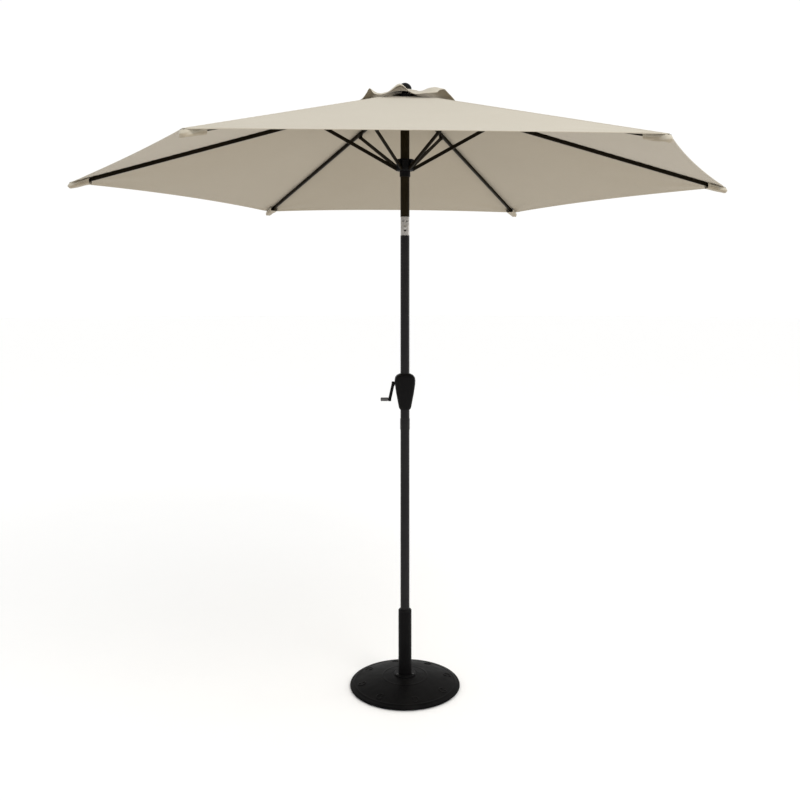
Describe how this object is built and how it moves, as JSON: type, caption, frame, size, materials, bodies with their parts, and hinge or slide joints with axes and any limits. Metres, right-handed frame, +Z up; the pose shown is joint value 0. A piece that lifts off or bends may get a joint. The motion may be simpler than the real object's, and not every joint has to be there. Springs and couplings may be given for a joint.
{
  "type": "patio umbrella with base",
  "caption": "Market-style patio umbrella with a hexagonal canopy, crank lift and push-button tilt, on a round weighted base.",
  "frame": {"origin": "centre of the base's underside, on the ground", "axes": "+Z up along the pole; ribs at 0, 60, 120, 180, 240 and 300 degrees from +X; crank on the -X side; the canopy tilts towards -Y"},
  "size_m": [2.7486, 2.3864, 2.5215],
  "materials": {
    "cast_base": "powder-coated black cast surface, satin, slightly dusty",
    "rubber_pads": "matt",
    "black_steel": "satin black powder coat",
    "dark_pole": "satin charcoal powder coat",
    "bronze_pole": "satin dark bronze powder coat",
    "bronze_rib": "satin dark bronze powder coat",
    "silver_knuckle": "satin die-cast",
    "housing_plastic": "fine-textured moulding",
    "grey_grip": "satin moulding",
    "black_plastic": "satin moulding",
    "pulley_plastic": "moulded nylon",
    "zinc_screws": "zinc plated",
    "spring_steel": "bright drawn wire",
    "rib_fittings": "grey moulded nylon and cloth pocket",
    "canopy_cloth": "woven beige canopy cloth, matt"
  },
  "bodies": {
    "base": {"base_weight": "cast_base", "base_feet": "rubber_pads", "base_stem": "black_steel", "stem_flange": "black_steel", "flange_screws": "zinc_screws", "stem_cap": "black_plastic", "stem_reducer": "black_plastic", "clamp_boss": "black_steel"},
    "clamp_screw": {"clamp_screw": "zinc_screws"},
    "clamp_knob": {"clamp_knob": "black_plastic"},
    "pole_plug": {"pole_plug": "black_plastic"},
    "pole": {"lower_pole": "dark_pole", "pole_joiner": "zinc_screws", "mid_pole": "dark_pole", "crank_housing_front": "housing_plastic", "crank_housing_rear": "housing_plastic", "housing_screws": "zinc_screws", "brake_spring": "spring_steel", "tilt_lower_knuckle": "silver_knuckle", "pawl_spring": "spring_steel", "tilt_pin": "zinc_screws"},
    "crank": {"crank_shaft": "zinc_screws", "cord_drum": "black_plastic", "crank_arm": "housing_plastic", "grip_screw": "zinc_screws"},
    "crank_grip": {"crank_grip": "grey_grip"},
    "tilt_button": {"tilt_button": "silver_knuckle"},
    "tilt_pawl": {"tilt_pawl": "zinc_screws"},
    "mast": {"tilt_upper_knuckle": "silver_knuckle", "top_pole": "bronze_pole", "top_hub": "black_plastic", "mast_pins": "zinc_screws", "finial": "black_plastic", "vent_cap": "canopy_cloth"},
    "pulley": {"cord_pulley": "pulley_plastic"},
    "runner": {"runner": "black_plastic"},
    "rib_1": {"rib_1": "bronze_rib", "rib_fittings_1": "rib_fittings", "canopy_gore_1": "canopy_cloth"},
    "strut_1": {"strut_1": "bronze_rib"},
    "rib_2": {"rib_2": "bronze_rib", "rib_fittings_2": "rib_fittings", "canopy_gore_2": "canopy_cloth"},
    "strut_2": {"strut_2": "bronze_rib"},
    "rib_3": {"rib_3": "bronze_rib", "rib_fittings_3": "rib_fittings", "canopy_gore_3": "canopy_cloth"},
    "strut_3": {"strut_3": "bronze_rib"},
    "rib_4": {"rib_4": "bronze_rib", "rib_fittings_4": "rib_fittings", "canopy_gore_4": "canopy_cloth"},
    "strut_4": {"strut_4": "bronze_rib"},
    "rib_5": {"rib_5": "bronze_rib", "rib_fittings_5": "rib_fittings", "canopy_gore_5": "canopy_cloth"},
    "strut_5": {"strut_5": "bronze_rib"},
    "rib_6": {"rib_6": "bronze_rib", "rib_fittings_6": "rib_fittings", "canopy_gore_6": "canopy_cloth"},
    "strut_6": {"strut_6": "bronze_rib"}
  },
  "joints": [
    {"name": "clamp_turn", "type": "hinge", "parent": "clamp_screw", "child": "clamp_knob", "pos_m": [0, 0.04, 0.24], "axis": [0, 1, 0], "range_deg": [0, 1080]},
    {"name": "clamp_feed", "type": "slide", "parent": "base", "child": "clamp_screw", "axis": [0, 1, 0], "range_m": [0, 0.00375]},
    {"name": "pole_lift", "type": "slide", "parent": "base", "child": "pole_plug", "axis": [0, 0, 1], "range_m": [0, 0.24]},
    {"name": "pole_swivel", "type": "hinge", "parent": "pole_plug", "child": "pole", "pos_m": [0, 0, 0.06], "axis": [0, 0, 1], "continuous": true},
    {"name": "crank_turn", "type": "hinge", "parent": "pole", "child": "crank", "pos_m": [0, 0, 1.262], "axis": [1, 0, 0], "range_deg": [-2200, 2200]},
    {"name": "grip_spin", "type": "hinge", "parent": "crank", "child": "crank_grip", "pos_m": [-0.085, 0, 1.197], "axis": [1, 0, 0], "continuous": true},
    {"name": "tilt_button_press", "type": "slide", "parent": "pole", "child": "tilt_button", "axis": [0, 1, 0], "range_m": [0, 0.003], "stiffness_N_per_m": 600, "springref_m": -0.002},
    {"name": "pawl_drop", "type": "slide", "parent": "pole", "child": "tilt_pawl", "axis": [0, 0, -1], "range_m": [0, 0.003], "deforming": ["pawl_spring"]},
    {"name": "canopy_tilt", "type": "hinge", "parent": "pole", "child": "mast", "pos_m": [0, 0, 1.916], "axis": [1, 0, 0], "range_deg": [0, 40]},
    {"name": "runner_slide", "type": "slide", "parent": "mast", "child": "runner", "axis": [0, 0, 1], "range_m": [-0.42841, 0]},
    {"name": "pulley_spin", "type": "hinge", "parent": "mast", "child": "pulley", "pos_m": [0, 0, 2.4], "axis": [0, 1, 0], "range_deg": [-2100, 2100]},
    {"name": "rib_fold_1", "type": "hinge", "parent": "mast", "child": "rib_1", "pos_m": [0.042, 0, 2.456], "axis": [0, -1, 0], "range_deg": [-69.4, 0], "deforming": ["canopy_gore_1", "vent_cap"]},
    {"name": "strut_swing_1", "type": "hinge", "parent": "rib_1", "child": "strut_1", "pos_m": [0.3667, 0, 2.34717], "axis": [0, -1, 0], "range_deg": [0, 126.99]},
    {"name": "rib_fold_2", "type": "hinge", "parent": "mast", "child": "rib_2", "pos_m": [0.021, 0.03637, 2.456], "axis": [0.866, -0.5, 0], "range_deg": [-69.4, 0], "deforming": ["canopy_gore_2"]},
    {"name": "strut_swing_2", "type": "hinge", "parent": "rib_2", "child": "strut_2", "pos_m": [0.18335, 0.31757, 2.34717], "axis": [0.866, -0.5, 0], "range_deg": [0, 126.99]},
    {"name": "rib_fold_3", "type": "hinge", "parent": "mast", "child": "rib_3", "pos_m": [-0.021, 0.03637, 2.456], "axis": [0.866, 0.5, 0], "range_deg": [-69.4, 0], "deforming": ["canopy_gore_3"]},
    {"name": "strut_swing_3", "type": "hinge", "parent": "rib_3", "child": "strut_3", "pos_m": [-0.18335, 0.31757, 2.34717], "axis": [0.866, 0.5, 0], "range_deg": [0, 126.99]},
    {"name": "rib_fold_4", "type": "hinge", "parent": "mast", "child": "rib_4", "pos_m": [-0.042, 0, 2.456], "axis": [0, 1, 0], "range_deg": [-69.4, 0], "deforming": ["canopy_gore_4"]},
    {"name": "strut_swing_4", "type": "hinge", "parent": "rib_4", "child": "strut_4", "pos_m": [-0.3667, 0, 2.34717], "axis": [0, 1, 0], "range_deg": [0, 126.99]},
    {"name": "rib_fold_5", "type": "hinge", "parent": "mast", "child": "rib_5", "pos_m": [-0.021, -0.03637, 2.456], "axis": [-0.866, 0.5, 0], "range_deg": [-69.4, 0], "deforming": ["canopy_gore_5"]},
    {"name": "strut_swing_5", "type": "hinge", "parent": "rib_5", "child": "strut_5", "pos_m": [-0.18335, -0.31757, 2.34717], "axis": [-0.866, 0.5, 0], "range_deg": [0, 126.99]},
    {"name": "rib_fold_6", "type": "hinge", "parent": "mast", "child": "rib_6", "pos_m": [0.021, -0.03637, 2.456], "axis": [-0.866, -0.5, 0], "range_deg": [-69.4, 0], "deforming": ["canopy_gore_6"]},
    {"name": "strut_swing_6", "type": "hinge", "parent": "rib_6", "child": "strut_6", "pos_m": [0.18335, -0.31757, 2.34717], "axis": [-0.866, -0.5, 0], "range_deg": [0, 126.99]}
  ],
  "couplings": [
    {"joint": "clamp_feed", "follows": "clamp_turn", "m_per_rad": 0.00019894},
    {"joint": "pawl_drop", "follows": "tilt_button_press", "ratio": 1},
    {"joint": "runner_slide", "follows": "rib_fold_1", "m_per_rad": 0.35287},
    {"joint": "crank_turn", "follows": "rib_fold_1", "ratio": 29.904},
    {"joint": "pulley_spin", "follows": "rib_fold_1", "ratio": 26.138},
    {"joint": "strut_swing_1", "follows": "rib_fold_1", "ratio": -1.8297},
    {"joint": "rib_fold_2", "follows": "rib_fold_1", "ratio": 1},
    {"joint": "strut_swing_2", "follows": "rib_fold_1", "ratio": -1.8297},
    {"joint": "rib_fold_3", "follows": "rib_fold_1", "ratio": 1},
    {"joint": "strut_swing_3", "follows": "rib_fold_1", "ratio": -1.8297},
    {"joint": "rib_fold_4", "follows": "rib_fold_1", "ratio": 1},
    {"joint": "strut_swing_4", "follows": "rib_fold_1", "ratio": -1.8297},
    {"joint": "rib_fold_5", "follows": "rib_fold_1", "ratio": 1},
    {"joint": "strut_swing_5", "follows": "rib_fold_1", "ratio": -1.8297},
    {"joint": "rib_fold_6", "follows": "rib_fold_1", "ratio": 1},
    {"joint": "strut_swing_6", "follows": "rib_fold_1", "ratio": -1.8297}
  ]
}
